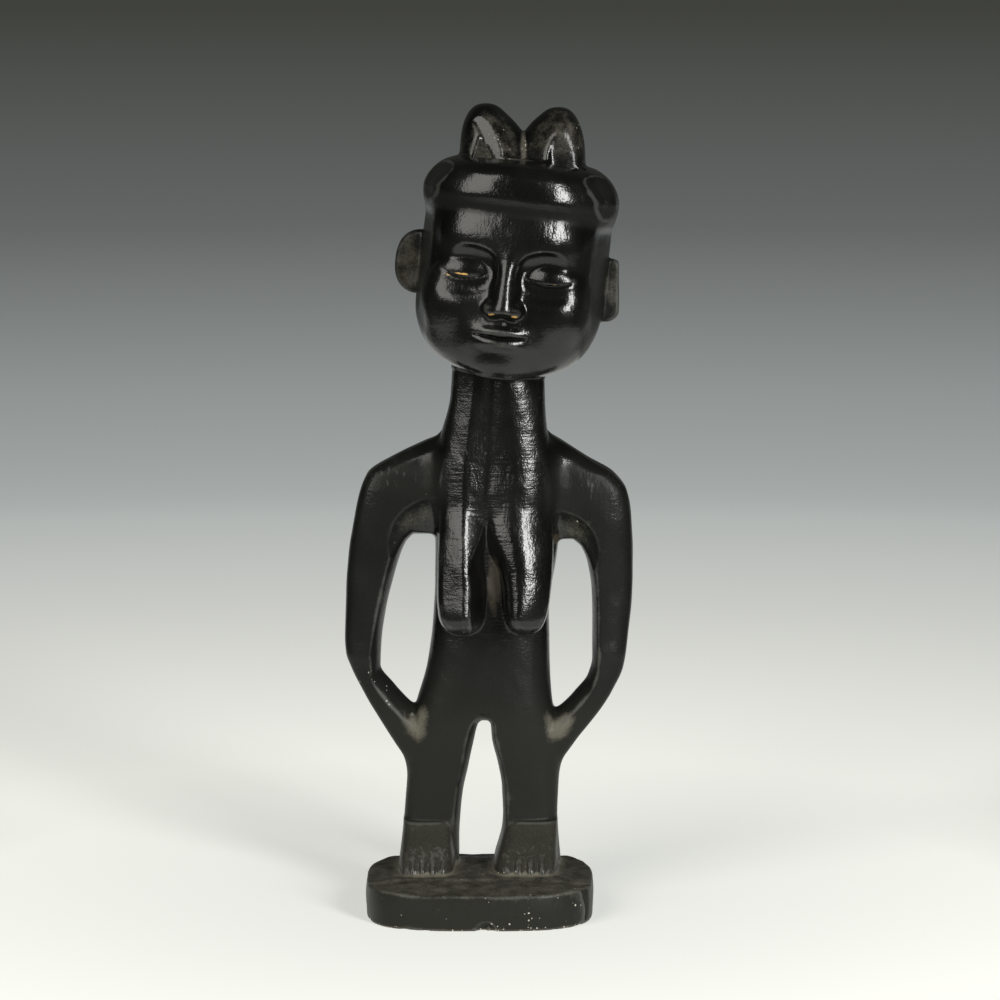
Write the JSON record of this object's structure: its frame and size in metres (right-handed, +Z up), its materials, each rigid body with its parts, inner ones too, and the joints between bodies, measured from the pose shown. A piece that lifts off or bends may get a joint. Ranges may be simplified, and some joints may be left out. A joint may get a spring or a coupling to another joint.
{
  "type": "standing carved figure",
  "caption": "Standing woman carved from one block of black lacquered wood, hands on thighs, arms parted from the waist, two buns of hair, on its own oval base.",
  "frame": {"origin": "middle of the flat underside of the base, on the surface that the figure stands on", "axes": "+Z up through the figure, which faces -Y; +X is to the right of someone who looks at its face"},
  "size_m": [0.1365, 0.0904, 0.3799],
  "materials": {
    "lacquered_wood": "black lacquer on carved wood, soft gloss with fine scraping marks, duller below the waist, bare brown wood at worn edges, pale dust in the hollows"
  },
  "bodies": {
    "root": {"figure": "lacquered_wood"}
  },
  "joints": []
}
